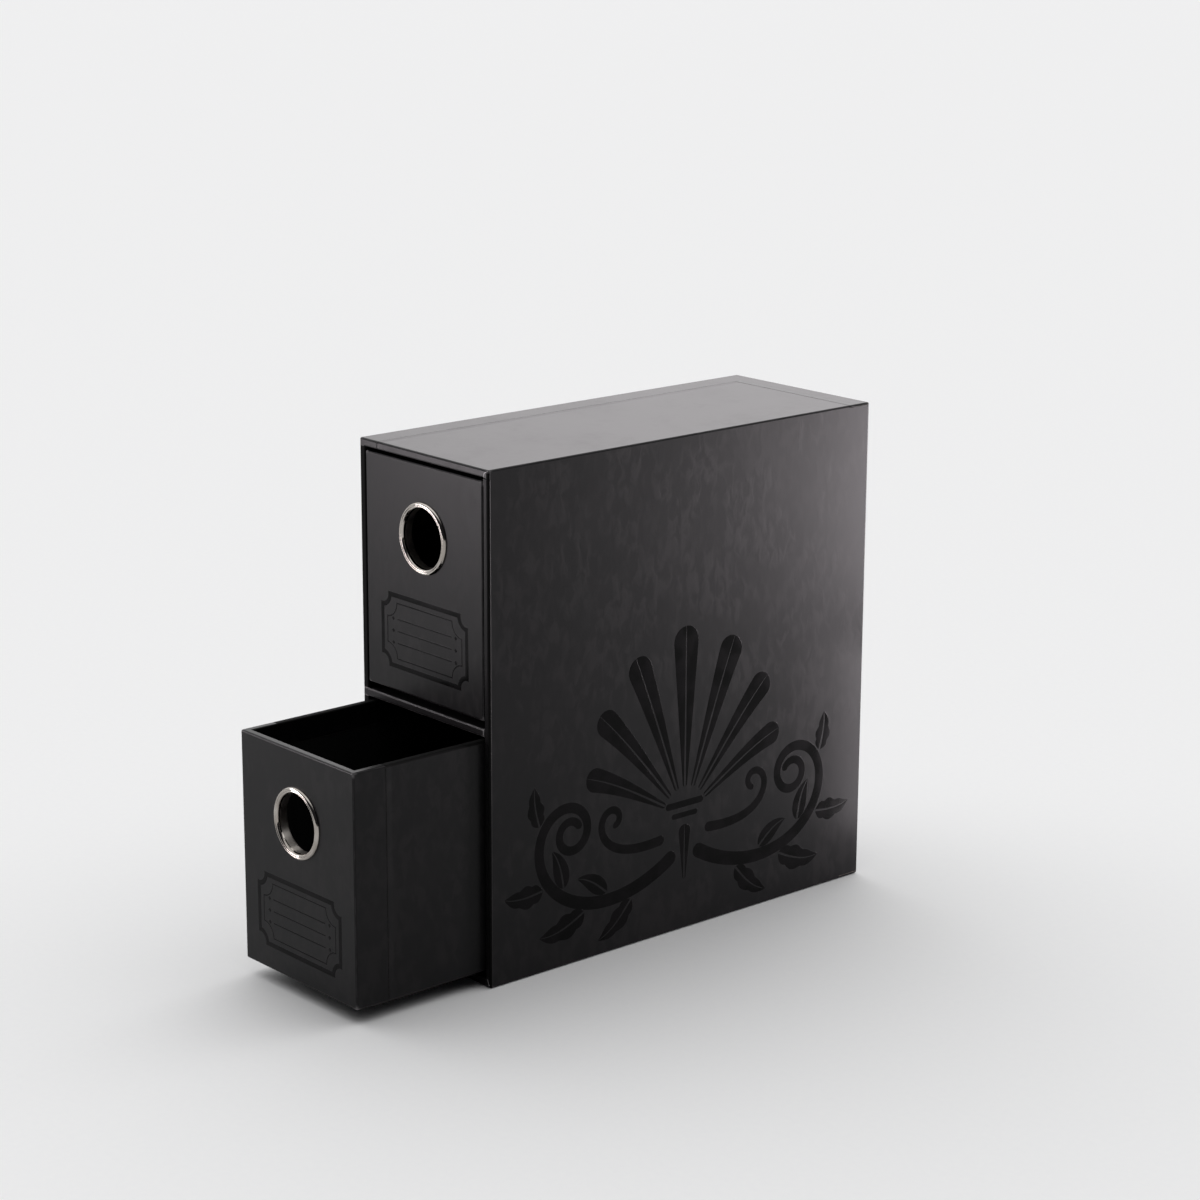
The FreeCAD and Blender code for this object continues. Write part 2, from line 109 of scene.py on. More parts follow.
class Nodes:
    """The nodes of a material, or of the room's light, while they are put together."""

    def __init__(self, tree: bpy.types.NodeTree) -> None:
        """Start with nothing but the place in metres and the way outwards, and no bumps yet.

        Args:
            tree: the node tree, which is emptied.
        """
        tree.nodes.clear()
        self.tree = tree
        start = self.add("TexCoord").outputs
        self.place, self.way, self.normal = start["Object"], start["Generated"], None

    def add(self, kind: str, inputs: dict | None = None, **settings: Any) -> Any:
        """Add one node, set its properties and fill or link its inputs.

        Args:
            kind: the node's type name, less its first word.
            inputs: a value or an output socket for each input, by the input's name or number.
            **settings: the node's own properties.

        Returns:
            The node.
        """
        node = self.tree.nodes.new("ShaderNode" + kind)
        for key, value in settings.items():
            setattr(node, key, value)
        for key, value in (inputs or {}).items():
            if isinstance(value, bpy.types.NodeSocket):
                self.tree.links.new(value, node.inputs[key])
            else:
                node.inputs[key].default_value = value
        return node

    def number(self, operation: str, *values: Any) -> Any:
        """Combine numbers by an operation, such as MULTIPLY, and return the result's socket."""
        return self.add("Math", dict(enumerate(values)), operation=operation).outputs[0]

    def vector(self, operation: str, *values: Any) -> Any:
        """Combine vectors by an operation, such as SUBTRACT, and return the results' sockets."""
        return self.add("VectorMath", dict(enumerate(values)), operation=operation).outputs

    def split(self, vector: Any) -> Any:
        """Return the sockets with a vector's three parts."""
        return self.add("SeparateXYZ", {0: vector}).outputs

    def mix(self, share: Any, low: Any, high: Any) -> Any:
        """Mix two numbers, or two colours.

        Args:
            share: the share of the second.
            low: the first, a socket or a hex colour.
            high: the second, a number, a socket or a hex colour.

        Returns:
            The mixed socket.
        """
        if isinstance(high, float):
            return self.add("Mix", {0: share, 2: low, 3: high}).outputs[0]
        low, high = (linear(end) if isinstance(end, str) else end for end in (low, high))
        return self.add("Mix", {0: share, 6: low, 7: high}, data_type="RGBA").outputs[2]

    def ramp(self, value: Any, source: Pair, target: Pair = (0.0, 1.0), kind: str = "SMOOTHSTEP") -> Any:
        """Map one range of a value onto another, held at its ends, and return the result's socket."""
        inputs = dict(enumerate((value, *source, *target)))
        return self.add("MapRange", inputs, interpolation_type=kind).outputs[0]

    def fade(self, distance: Any, reach_mm: Pair) -> Any:
        """Fade from 1 where a distance in metres is under the first reach to 0 past the second."""
        return self.ramp(distance, tuple(reach * MM for reach in reach_mm), (1.0, 0.0))

    def noise(self, size_mm: float, detail: float = 2.0, distortion: float = 0.0, place: Any = None) -> Any:
        """Return the socket of a cloudy noise whose patches are about size_mm across."""
        inputs = {"Vector": place or self.place, "Scale": 1 / (size_mm * MM), "Detail": detail}
        return self.add("TexNoise", {**inputs, "Distortion": distortion}).outputs[0]

    def stretched(self, scale: Point) -> Any:
        """Return the place with its axes scaled, so that a noise on it is drawn out along the least."""
        return self.add("Mapping", {"Vector": self.place, "Scale": scale}).outputs[0]

    def bump(self, height: Any, depth_mm: float) -> None:
        """Raise the surface by a height times a depth, over the bumps raised before."""
        below = {"Normal": self.normal} if self.normal else {}
        self.normal = self.add("Bump", {"Height": height, "Distance": depth_mm * MM, **below}).outputs[0]

    def finish(self, colour: Any, roughness: Any, specular: float = 0.5, ior: float = 1.5,
               metallic: float = 0.0) -> None:
        """Join the colour, the gloss and the bumps into the material's surface.

        Args:
            colour: its socket.
            roughness: a number or a socket.
            specular: how strongly it reflects, from 0 to 1.
            ior: the index of refraction.
            metallic: 1 for metal.
        """
        inputs = {"Base Color": colour, "Roughness": roughness, "Specular IOR Level": specular}
        inputs |= {"IOR": ior, "Metallic": metallic}
        if self.normal:
            inputs["Normal"] = self.normal
        self.add("OutputMaterial", {"Surface": self.add("BsdfPrincipled", inputs).outputs[0]})


def start_material(name: str) -> tuple[Material, Nodes]:
    """Start a material with no nodes but its coordinates.

    Args:
        name: its name.

    Returns:
        The material and its nodes.
    """
    material = bpy.data.materials.new(name)
    material.use_nodes = True
    return material, Nodes(material.node_tree)


@dataclass(frozen=True)
class Box:
    """A box in mm: the outer box of some pieces, or a zone of a material."""

    low: Point
    high: Point

    @classmethod
    def of(cls, *names: str) -> "Box":
        """Return the box round some CAD nodes."""
        corners = np.array([[tuple(corner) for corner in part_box(name)] for name in names]) / MM
        return cls(tuple(corners[:, 0].min(0)), tuple(corners[:, 1].max(0)))

    @classmethod
    def zone(cls, x: Pair = OPEN, y: Pair = OPEN, z: Pair = OPEN) -> "Box":
        """Return a box that is open along the axes that aren't given."""
        return cls(*zip(x, y, z))

    def share(self, nodes: Nodes) -> Any:
        """Tell whether a place is inside the box, fading softly at its walls.

        Args:
            nodes: the material's nodes.

        Returns:
            The socket with 1 inside and 0 outside, or just 1 if it has no walls.
        """
        share: Any = 1.0
        for part, *limits in zip(nodes.split(nodes.place), self.low, self.high):
            for limit, ends in zip(limits, ((0.0, 1.0), (1.0, 0.0))):
                if abs(limit) < FAR:
                    wall = ((limit - SOFT_WALL_MM) * MM, (limit + SOFT_WALL_MM) * MM)
                    share = nodes.number("MULTIPLY", share, nodes.ramp(part, wall, ends))
        return share

    def edge_distance(self, nodes: Nodes) -> tuple[Any, Any]:
        """Work out how far a point on the box's skin is from the nearest edge and along it to a corner.

        The distance to each pair of walls is half the box's size less the distance from its middle.
        On the skin the smallest of the three is zero, the middle one is the distance to the nearest
        edge, and the largest is how far the nearest corner is, along that edge.

        Args:
            nodes: the material's nodes.

        Returns:
            The sockets with the distances in metres, to the edge and to the corner.
        """
        low, high = np.array(self.low) * MM, np.array(self.high) * MM
        offset = nodes.vector("SUBTRACT", nodes.place, tuple((low + high) / 2))[0]
        spread = nodes.vector("ABSOLUTE", offset)[0]
        a, b, c = nodes.split(nodes.vector("SUBTRACT", tuple((high - low) / 2), spread)[0])
        small, large = nodes.number("MINIMUM", a, b), nodes.number("MAXIMUM", a, b)
        edge = nodes.number("MAXIMUM", small, nodes.number("MINIMUM", large, c))
        return edge, nodes.number("MAXIMUM", large, c)


@dataclass(frozen=True)
class Lap:
    """A straight edge where one glued sheet ends over another, as a low step in the surface.

    The step rises along one axis at a place, within a zone. A bevel falls back evenly, like paper over
    a cut edge that the knife left a little out of square.
    """

    axis: int
    at_mm: float
    zone: Box
    step_mm: float = 0.2
    rise_mm: float = 0.45
    fall_mm: float = 3.6
    bevel: bool = False

    def height(self, nodes: Nodes) -> Any:
        """Work out the surface's height, which rises to the edge and falls back slowly behind it.

        Args:
            nodes: the material's nodes.

        Returns:
            The socket with the height as a share of the step.
        """
        part, at = nodes.split(nodes.place)[self.axis], self.at_mm * MM
        rise = nodes.ramp(part, (at - self.rise_mm * MM, at))
        kind = "LINEAR" if self.bevel else "SMOOTHSTEP"
        fall = nodes.ramp(part, (at, at + self.fall_mm * MM), (1.0, 0.0), kind)
        return nodes.number("MULTIPLY", nodes.number("MULTIPLY", rise, fall), self.zone.share(nodes))


@dataclass(frozen=True)
class Crease:
    """A pale hairline along a tight fold or at a paper end."""

    start: Point
    end: Point
    width_mm: float

    def share(self, nodes: Nodes) -> Any:
        """Tell how near a place is to the hairline.

        Its offset from the start along the hairline, held to the ends, gives the nearest point.

        Args:
            nodes: the material's nodes.

        Returns:
            The socket with 1 on the hairline and 0 beside it.
        """
        start, run = Vector(self.start) * MM, (Vector(self.end) - Vector(self.start)) * MM
        offset = nodes.vector("SUBTRACT", nodes.place, start)[0]
        along = nodes.vector("DOT_PRODUCT", offset, run / run.length_squared)["Value"]
        near = nodes.vector("MULTIPLY", run, nodes.add("Clamp", {0: along}).outputs[0])[0]
        gap = nodes.vector("DISTANCE", offset, near)["Value"]
        return nodes.fade(gap, (0.0, self.width_mm))


@dataclass(frozen=True)
class LaminatedPaper:
    """Black wrapping paper, printed and film-laminated matt, glued tight over board.

    The film has a broad soft sheen. Damp glue left slow clouds and small upright wrinkles here and there,
    sheets that lap leave low steps, and rubbing left the edges greyer and duller, the corners most; on the
    shelf strip the edge band is a painted highlight instead. Some zones are made dull and darker: scuffs on
    the drawers, painted shade on the case's wall edges. Pale hairlines mark creases. A band is the noise's
    values between which what it draws goes from none to all.
    """

    name: str
    colour: str = "#0e0e0f"
    streak_colour: str = "#141314"
    roughness: Pair = (0.31, 0.35)
    specular: float = 0.12
    ior: float = 1.49
    streak_mm: float = 4.2  # Spacing of the glue's small upright wrinkles
    streak_reach: float = 1.9  # How many times longer than wide they are
    streak_depth_mm: float = 0.014
    streak_band: Pair = (0.36, 0.74)
    patch_band: Pair = (0.36, 0.62)  # Where the wrinkles come and go
    patch_least: float = 0.3
    top_share: float = 0.3  # How much of the wrinkling the top has
    top_mm: Pair = (1.5, 0.5)  # How far below the top it fades
    cloud_mm: float = 30.0  # Size of the patches where glue took unevenly
    tooth_mm: float = 2.2  # Film texture: really about 0.2 mm, drawn coarser so that it shows
    tooth_depth_mm: float = 0.0045
    rub_and_highlight_mm: Pair = (0.12, 0.6)  # How far from a folded edge the rubbing, or on the shelf strip the painted highlight, fades
    rub_roughness: float = 0.1
    rub_and_highlight_colour: str = "#343234"
    wear_mm: float = 5.0  # Size of the patches in which the rubbing comes and goes
    wear_band: Pair = (0.35, 0.7)
    wear_least: float = 0.25
    corner_mm: Pair = (0.78, 2.6)  # How far along an edge the corner's wear fades
    corner_edge_mm: Pair = (0.3, 1.04)  # And how far from the edge
    worn_colour: str = "#676566"
    laps: tuple[Lap, ...] = ()
    dull: tuple[Box, ...] = ()  # Zones made dull and darker: scuffs, and painted shade on the case's wall edges
    dull_and_shade_colour: str = "#060606"
    dull_roughness: float = 0.85
    creases: tuple[Crease, ...] = ()
    hairline_colour: str = "#bfbcbd"

    def streaks(self, nodes: Nodes, top_mm: float) -> Any:
        """Draw the wrinkles that the glue left.

        Args:
            nodes: the material's nodes.
            top_mm: the wrapped box's height.

        Returns:
            The socket with their share.
        """
        place = nodes.stretched((1.0, 1.0, 1 / self.streak_reach))
        wrinkles = nodes.ramp(nodes.noise(self.streak_mm, 2.0, 0.6, place), self.streak_band)
        here = nodes.ramp(nodes.noise(self.cloud_mm * 0.6, 1.0), self.patch_band, (self.patch_least, 1.0))
        fade = tuple((top_mm - depth) * MM for depth in self.top_mm)
        upright = nodes.ramp(nodes.split(nodes.place)[2], fade, (1.0, self.top_share))
        return nodes.number("MULTIPLY", nodes.number("MULTIPLY", wrinkles, here), upright)

    def wear(self, nodes: Nodes, box: Box) -> tuple[Any, Any]:
        """Draw the rubbing along the edges, which on the shelf strip is a painted highlight, and the wear at
        the corners.

        Args:
            nodes: the material's nodes.
            box: the wrapped box.

        Returns:
            The sockets with the share of each.
        """
        distance, far = box.edge_distance(nodes)
        near = nodes.fade(distance, self.rub_and_highlight_mm)
        patches = nodes.ramp(nodes.noise(self.wear_mm, 4.0), self.wear_band, (self.wear_least, 1.0))
        beside, close = nodes.fade(distance, self.corner_edge_mm), nodes.fade(far, self.corner_mm)
        corner = nodes.number("MULTIPLY", beside, close)
        return tuple(nodes.number("MULTIPLY", area, patches) for area in (near, corner))

    def make(self, box: Box) -> Material:
        """Make the paper for what it wraps.

        Args:
            box: the wrapped box.

        Returns:
            The material.
        """
        material, nodes = start_material(self.name)
        streaks = self.streaks(nodes, box.high[2])
        mixed = nodes.number("ADD", streaks, nodes.noise(self.cloud_mm, 3.0))
        rub_and_highlight_share, worn = self.wear(nodes, box)
        colour = nodes.mix(nodes.ramp(mixed, (0.4, 1.2)), self.colour, self.streak_colour)
        # Edge band: rubbing, which on the shelf strip is so pale that it is a painted highlight
        colour = nodes.mix(rub_and_highlight_share, colour, self.rub_and_highlight_colour)
        colour = nodes.mix(worn, colour, self.worn_colour)
        smooth = nodes.ramp(mixed, (0.4, 1.3), self.roughness)
        roughness = nodes.number("MULTIPLY_ADD", rub_and_highlight_share, self.rub_roughness, smooth)
        # Dull zones: scuffed paper on the drawers, painted shade on the case's front wall edges
        for area in self.dull:
            share = area.share(nodes)
            roughness = nodes.mix(share, roughness, self.dull_roughness)
            colour = nodes.mix(share, colour, self.dull_and_shade_colour)
        for crease in self.creases:
            colour = nodes.mix(crease.share(nodes), colour, self.hairline_colour)
        nodes.bump(streaks, self.streak_depth_mm)
        for lap in self.laps:
            nodes.bump(lap.height(nodes), lap.step_mm)
        nodes.bump(nodes.noise(self.tooth_mm), self.tooth_depth_mm)
        nodes.finish(colour, roughness, self.specular, self.ior)
        return material


@dataclass(frozen=True)
class UncoatedPaper:
    """Black uncoated paper, dyed through, for linings and the base.

    It is dull at every angle, with short fibres a little lighter than the dye.
    """

    name: str
    colour: str = "#111111"
    fibre_colour: str = "#1d1c1c"
    roughness: Pair = (0.81, 0.91)
    specular: float = 0.25
    fibre_mm: float = 0.7  # Really about 0.03 mm, drawn wider so that they show
    fibre_reach: Point = (1.0, 0.35, 1.0)  # They lie along the sheet's depth
    fibre_depth_mm: float = 0.012
    cloud_mm: float = 14.0

    def make(self) -> Material:
        """Make the paper.

        Returns:
            The material.
        """
        material, nodes = start_material(self.name)
        fibres = nodes.noise(self.fibre_mm, 5.0, place=nodes.stretched(self.fibre_reach))
        colour = nodes.mix(nodes.ramp(fibres, (0.5, 0.72)), self.colour, self.fibre_colour)
        roughness = nodes.ramp(nodes.noise(self.cloud_mm), (0.35, 0.65), self.roughness)
        nodes.bump(fibres, self.fibre_depth_mm)
        nodes.finish(colour, roughness, self.specular)
        return material


@dataclass(frozen=True)
class Greyboard:
    """Bookbinding board, pressed from recycled paper pulp.

    It is dull grey-brown, clouded by the pulp, with dark specks of old print and a fine tooth.
    """

    name: str = "pressed_greyboard"
    colour: str = "#8b857c"
    damp_colour: str = "#7f796f"
    dark_speck: str = "#5f5a54"
    pulp_mm: float = 3.5
    speck_mm: float = 1.1
    tooth_mm: float = 0.45
    tooth_depth_mm: float = 0.03
    roughness: Pair = (0.84, 0.94)

    def make(self) -> Material:
        """Make the board.

        Returns:
            The material.
        """
        material, nodes = start_material(self.name)
        pulp = nodes.noise(self.pulp_mm, 6.0)
        specks = nodes.ramp(nodes.noise(self.speck_mm), (0.60, 0.70), (0.0, 0.8))
        colour = nodes.mix(nodes.ramp(pulp, (0.35, 0.65)), self.damp_colour, self.colour)
        colour = nodes.mix(specks, colour, self.dark_speck)
        nodes.bump(nodes.noise(self.tooth_mm, 1.0), self.tooth_depth_mm)
        nodes.finish(colour, nodes.ramp(pulp, (0.3, 0.7), self.roughness))
        return material


@dataclass(frozen=True)
class SpotVarnish:
    """Clear UV varnish, screen printed over the matt film and cured.

    It mirrors dark surroundings, so over black it reads darker than the matt paper round it. Screen
    printing leaves it a very slight orange peel.
    """

    name: str = "screen_printed_gloss_varnish"
    colour: str = "#080808"
    deep_colour: str = "#0c0b0c"
    roughness: Pair = (0.17, 0.24)
    specular: float = 0.045
    pool_mm: float = 9.0
    peel_mm: float = 1.3
    peel_depth_mm: float = 0.0025

    def make(self) -> Material:
        """Make the varnish.

        Returns:
            The material.
        """
        material, nodes = start_material(self.name)
        pools = nodes.noise(self.pool_mm)
        colour = nodes.mix(nodes.ramp(pools, (0.4, 0.6)), self.colour, self.deep_colour)
        nodes.bump(nodes.noise(self.peel_mm), self.peel_depth_mm)
        nodes.finish(colour, nodes.ramp(pools, (0.35, 0.65), self.roughness), self.specular)
        return material


@dataclass(frozen=True)
class NickelPlate:
    """Bright nickel plate on pressed steel, tumbled smooth.

    A slightly warm mirror with soft smudges of handling. Less plate reaches the barrel inside, which
    stays duller than the rim.
    """

    name: str
    colour: str = "#b1aca6"
    smudge_colour: str = "#9d9790"
    roughness: Pair = (0.07, 0.13)
    barrel_roughness: float = 0.34
    barrel_mm: float = 0.4  # How far behind the front the barrel's dull part starts
    smudge_mm: float = 9.0
    peel_mm: float = 4.0
    peel_depth_mm: float = 0.002

    def make(self, front_mm: float) -> Material:
        """Make the plate for one ring.

        Args:
            front_mm: where the drawer's front is, along Y.

        Returns:
            The material.
        """
        material, nodes = start_material(self.name)
        smudge = nodes.ramp(nodes.noise(self.smudge_mm, 1.0), (0.4, 0.7))
        colour = nodes.mix(smudge, self.colour, self.smudge_colour)
        barrel = Box.zone(y=(front_mm + self.barrel_mm, FAR)).share(nodes)
        roughness = nodes.ramp(smudge, (0.0, 1.0), self.roughness)
        nodes.bump(nodes.noise(self.peel_mm, 0.0), self.peel_depth_mm)
        nodes.finish(colour, nodes.mix(barrel, roughness, self.barrel_roughness), metallic=1.0)
        return material


# Making meshes


def skin(sections: Array, closed: bool) -> Mesh:
    """Join a row of matching loops into one closed surface, facing outwards.

    Point j of loop i joins point j of loop i + 1, and a closed row's last loop the first. Open rows get
    a flat face at each end. The volume's sign, a sum of a . (b x c), tells whether the faces point out.

    Args:
        sections: the loops' points, shaped (loops, points in a loop, 3), in mm.
        closed: whether the last loop joins the first.

    Returns:
        The vertices in mm and the faces.
    """
    rows, around = sections.shape[:2]
    points = sections.reshape(-1, 3)
    i, j = np.meshgrid(np.arange(rows if closed else rows - 1), np.arange(around), indexing="ij")
    k, m = (i + 1) % rows, (j + 1) % around
    quads = np.stack([i * around + j, i * around + m, k * around + m, k * around + j], -1).reshape(-1, 4)
    faces = [tuple(quad) for quad in quads.tolist()]
    if not closed:
        faces += [tuple(range(around))[::-1], tuple(range((rows - 1) * around, rows * around))]
    a, b, c, d = (points[[face[n] for face in faces]] - points.mean(0) for n in (0, 1, 2, -1))
    if (a * (np.cross(b, c) + np.cross(c, d))).sum() < 0:
        faces = [face[::-1] for face in faces]
    return points, faces


def merge(parts: list[Mesh]) -> Mesh:
    """Put several meshes into one, renumbering their faces.

    Args:
        parts: vertices and faces of each.

    Returns:
        The vertices and faces of all.
    """
    starts = np.cumsum([0] + [len(points) for points, _ in parts])
    faces = [tuple(int(start) + v for v in f) for start, (_, fs) in zip(starts, parts) for f in fs]
    return np.concatenate([points for points, _ in parts]), faces


def make_piece(name: str, mesh: Mesh, finish: Material, body: str) -> Piece:
    """Make a smooth-shaded piece that rides on a CAD body.

    Args:
        name: the piece's name.
        mesh: its vertices in mm and its faces.
        finish: its material.
        body: the CAD body that it moves with.

    Returns:
        The object.
    """
    data = bpy.data.meshes.new(name)
    data.from_pydata((mesh[0] * MM).tolist(), [], mesh[1])
    data.validate()
    data.shade_smooth()
    data.set_sharp_from_angle(angle=math.radians(SHARP_DEGREES))
    data.materials.append(finish)
    piece = bpy.data.objects.new(name, data)
    bpy.context.scene.collection.objects.link(piece)
    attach(piece, body)
    log.info("%s: %d faces on %s", name, len(data.polygons), body)
    return piece


# Spot varnish


class Face(Enum):
    """A flat face of the box that takes a print, as the axes of its print's width, height and depth."""

    RIGHT_SIDE = ((0, 1, 0), (0, 0, 1), (1, 0, 0))
    FRONT = ((1, 0, 0), (0, 0, 1), (0, -1, 0))


@dataclass(frozen=True)
class Film:
    """A varnish film's cross-section: flat, rolled off at its edges, and sunk a little into the paper."""

    proud_mm: float = 0.02
    sunk_mm: float = 0.012
    roll_mm: float = 0.2  # How far in from an edge the film's rounded shoulder reaches
    places: Point = (0.0, 0.3, 1.0)  # Of the shoulder's points, as shares of that reach

    def section(self, left: Array, right: Array, face: Face, origin: Array) -> Array:
        """Carry the cross-section between two edges drawn on a face.

        A point a share r of the shoulder's reach in from an edge stands proud by the film's height
        times the square root of 1 - (1 - r)^2, a quarter circle drawn wide. The rest is flat, so that
        films that cross lie level. The shoulder takes at most a third of the width.

        Args:
            left: the points of one edge, shaped (n, 2), as width and height on the face.
            right: the points of the other edge.
            face: the face.
            origin: the place of the print's origin on it.

        Returns:
            The loops, shaped (n, points in a loop, 3).
        """
        width = np.linalg.norm(right - left, axis=1)[:, None]
        reach = np.minimum(self.roll_mm / width, 1 / 3)
        inwards = np.array(self.places)
        t = np.hstack([reach * inwards, 1 - reach * inwards[::-1], np.ones_like(reach), 0 * reach])
        shoulder = np.sqrt(1 - (1 - inwards) ** 2) * self.proud_mm
        height = np.concatenate([shoulder, shoulder[::-1], [-self.sunk_mm, -self.sunk_mm]])
        flat = left[:, None, :] * (1 - t)[..., None] + right[:, None, :] * t[..., None]
        along, up, out = (np.array(axis, float) for axis in face.value)
        return origin + flat[..., :1] * along + flat[..., 1:] * up + height[None, :, None] * out


class Shape(Enum):
    """The shapes of the ornament's strokes."""

    STEM = "stem"  # Even taper, round ends
    PETAL = "petal"  # Widens to a round tip, split by a vein
    LEAF = "leaf"  # Pointed at both ends, split by a vein


@dataclass(frozen=True)
class Stroke:
    """One stroke of the ornament.

    Its middle line turns by a curvature that goes from one value to another as a power of the share of
    the way along: the heading is the curvature's running sum, and the place that of the heading's
    cosine and sine.
    """

    shape: Shape
    root: Pair
    heading: float
    length: float
    width: Pair  # Half widths at the root and the tip, or of a leaf's belly
    curl: Pair = (0.0, 0.0)  # Curvature at the root and the tip, per mm
    curl_power: float = 1.0
    lobes: int = 0
    lobe_share: float = 0.22  # How much of a leaf's width its lobes take
    vein: float = 1.0
    points: int = 64

    def line(self) -> tuple[Array, Array, Array]:
        """Work out the middle line, with its points closer together towards both ends.

        Returns:
            The share of the way along, the places and the headings in radians.
        """
        s = (1 - np.cos(np.linspace(0, math.pi, self.points))) / 2
        step = np.diff(s)[:, None] * self.length
        bend = self.curl[0] + (self.curl[1] - self.curl[0]) * s**self.curl_power
        turn = np.concatenate([[0], np.cumsum((bend[1:] + bend[:-1]) / 2 * step[:, 0])])
        angle = math.radians(self.heading) + turn
        move = np.stack([np.cos(angle), np.sin(angle)], -1)
        place = np.concatenate([[[0, 0]], np.cumsum((move[1:] + move[:-1]) / 2 * step, axis=0)])
        return s, place + np.array(self.root), angle

    def half_width(self, s: Array) -> Array:
        """Work out the half width along the stroke.

        A leaf's is its belly times sin(pi s^0.7)^0.8, with its lobes as half waves. A stem's and a
        petal's go evenly from root to tip, with round ends: at a distance d from an end of half width
        w > d they are multiplied by the square root of 1 - (1 - d / w)^2.

        Args:
            s: the share of the way along.

        Returns:
            The half width in mm.
        """
        if self.shape is Shape.LEAF:
            wave = np.abs(np.sin(math.pi * self.lobes * s**0.8)) if self.lobes else 1.0
            return self.width[0] * np.sin(math.pi * s**0.7) ** 0.8 * (1 - self.lobe_share * (1 - wave))
        half = self.width[0] * (1 - s) + self.width[1] * s
        for distance, radius in ((s, self.width[0]), (1 - s, self.width[1])):
            near = np.clip(distance * self.length / radius, 0, 1)
            half = half * np.sqrt(1 - (1 - near) ** 2)
        return half

    def edges(self) -> list[tuple[Array, Array]]:
        """Work out the edges of the stroke's closed shapes: one for a stem, two round a vein.

        Returns:
            The left and the right edge of each.
        """
        s, place, angle = self.line()
        side = np.stack([-np.sin(angle), np.cos(angle)], -1)
        half = self.half_width(s)[:, None]
        if self.shape is Shape.STEM:
            return [(place - side * (half + LEAST_MM), place + side * (half + LEAST_MM))]
        gap = np.minimum(self.vein / 2 * np.sqrt(1 - s)[:, None], half * 0.6)
        outer = np.maximum(half, gap + LEAST_MM)
        return [(place + side * gap, place + side * outer), (place - side * outer, place - side * gap)]

    def mirrored(self) -> "Stroke":
        """Return the same stroke on the other side of the ornament's upright middle line."""
        curl = (-self.curl[0], -self.curl[1])
        return replace(self, root=(-self.root[0], self.root[1]), heading=180 - self.heading, curl=curl)

    def branch(self, share: float, turn: float, shape: Shape, gap: float, **fields: Any) -> "Stroke":
        """Grow another stroke beside this one, with its root a small gap clear of this one's edge.

        Args:
            share: the share of this stroke's points at which it starts.
            turn: its heading from this one's there, in degrees.
            shape: its shape.
            gap: how clear its root is of the edge.
            **fields: its other fields.

        Returns:
            The new stroke.
        """
        s, place, angle = self.line()
        i = round(share * (self.points - 1))
        away = math.copysign(float(self.half_width(s)[i]) + gap, turn)
        root = (place[i, 0] - math.sin(angle[i]) * away, place[i, 1] + math.cos(angle[i]) * away)
        return Stroke(shape, root, math.degrees(angle[i]) + turn, **fields)


@dataclass(frozen=True)
class SideOrnament:
    """A leaf-scroll ornament, of the common classical kind, in gloss varnish low on the right side."""

    centre_mm: Pair = (0.0, 6.0)
    fan_mm: Pair = (46.0, 13.0)  # The height of its middle, and how far out the petals start
    film: Film = Film()

    def strokes(self) -> list[Stroke]:
        """Lay out the ornament: a fan of petals over a pair of scrolls with leafy branches.

        Returns:
            The strokes, with the right half mirrored to the left.
        """
        right: list[Stroke] = []
        middle_mm, start_mm = self.fan_mm
        for lean, length, tip, curl in ((20, 68, 7.2, 0.002), (40, 60, 6.6, 0.006), (60, 50, 5.8, 0.012)):
            turn = math.radians(lean)
            root = (start_mm * math.sin(turn), middle_mm + start_mm * math.cos(turn))
            right.append(Stroke(Shape.PETAL, root, 90 - lean, length, (1.2, tip), (0.0, -curl), 1.5))
        stem = Stroke(Shape.STEM, (5.6, 30.0), -34, 178, (3.3, 1.8), (0.0135, 0.195), 2.6, points=150)
        right.append(stem)
        outer = ((0.26, -38, 24, 5.0), (0.37, -40, 26, 5.8), (0.465, -62, 21, 5.2), (0.555, -50, 18, 4.6))
        inner = ((0.32, 40, 19, 4.0), (0.43, 44, 19, 4.2))
        for leaves, curl, lobes in ((outer, 0.05, 3), (inner, -0.06, 0)):
            for share, turn, length, belly in leaves:
                leaf = {"length": length, "width": (belly, 0.0), "curl": (0.0, curl), "lobes": lobes}
                right.append(stem.branch(share, turn, Shape.LEAF, 0.9, **leaf))
        right.append(Stroke(Shape.STEM, (12.0, 38.0), -8, 64, (2.3, 1.5), (0.012, 0.36), 2.8, points=110))
        middle = [
            Stroke(Shape.PETAL, (0.0, 59.0), 90, 72, (1.2, 7.8)),
            Stroke(Shape.STEM, (-11.0, 51.5), 0, 22, (1.5, 1.5)),
            Stroke(Shape.STEM, (-7.5, 46.5), 0, 15, (1.2, 1.2)),
            Stroke(Shape.PETAL, (0.0, 17.0), 90, 25, (0.8, 3.8)),
        ]
        return middle + right + [stroke.mirrored() for stroke in right]

    def build(self, surface_mm: float, finish: Material) -> None:
        """Print the ornament.

        Args:
            surface_mm: where the side's paper is, along X.
            finish: the varnish.
        """
        origin = np.array([surface_mm, *self.centre_mm])
        pairs = [pair for stroke in self.strokes() for pair in stroke.edges()]
        parts = [skin(self.film.section(a, b, Face.RIGHT_SIDE, origin), False) for a, b in pairs]
        make_piece("case_side_ornament", merge(parts), finish, "case")


